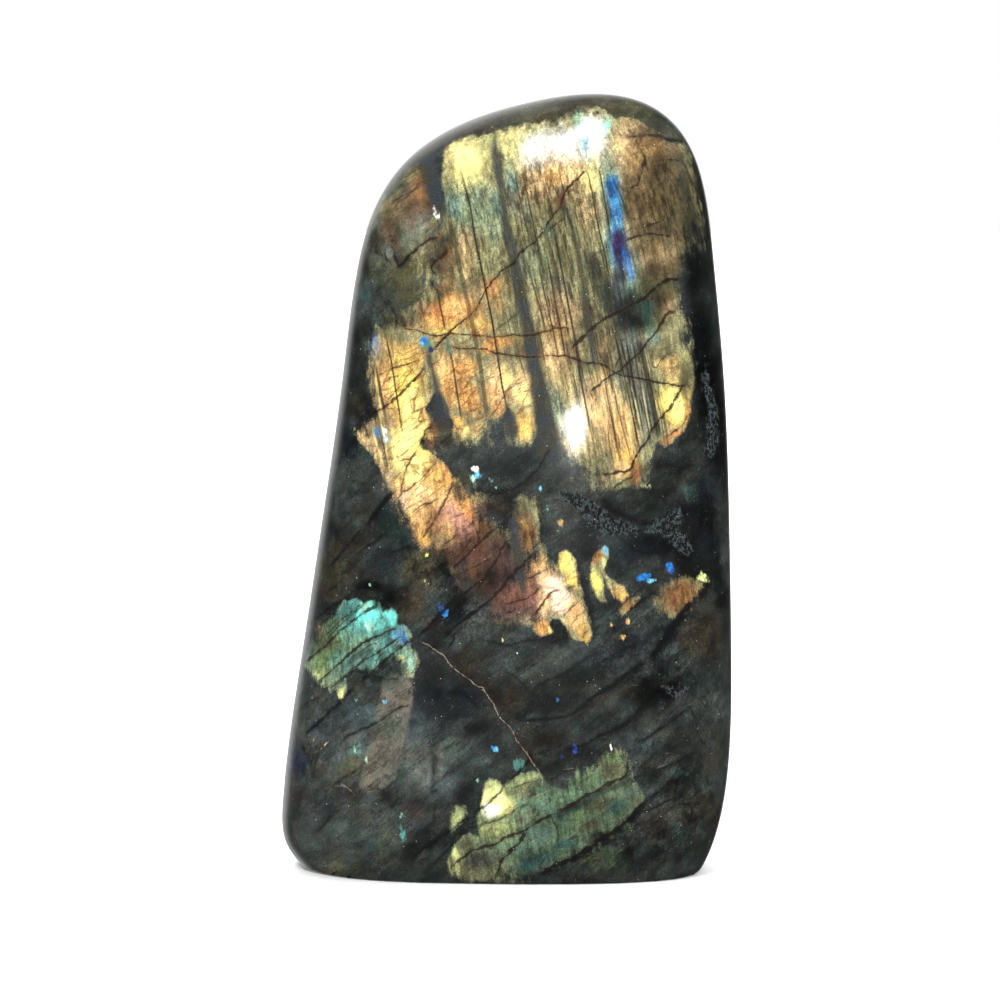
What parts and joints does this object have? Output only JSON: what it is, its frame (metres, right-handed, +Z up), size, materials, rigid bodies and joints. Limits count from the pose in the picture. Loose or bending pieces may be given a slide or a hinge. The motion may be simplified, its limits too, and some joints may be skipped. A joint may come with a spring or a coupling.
{
  "type": "polished labradorite freeform",
  "caption": "Upright polished stone with a lopsided arched top, domed faces and a flat sawn base it stands on, dark with patches of iridescent gold, blue and green.",
  "frame": {"origin": "middle of the stone's outline as seen from above, on the flat sawn base", "axes": "+Z up the stone, +X to the right of someone facing its front, +Y out of its back, so the front with the large gold patch faces -Y"},
  "size_m": [0.099, 0.0464, 0.17],
  "materials": {
    "polished_labradorite": "high polish over dark grey-green feldspar, with iridescent patches of gold, orange, pink, blue, teal and green, fine parallel twin lines and healed cracks"
  },
  "bodies": {
    "root": {"labradorite_stone": "polished_labradorite"}
  },
  "joints": []
}
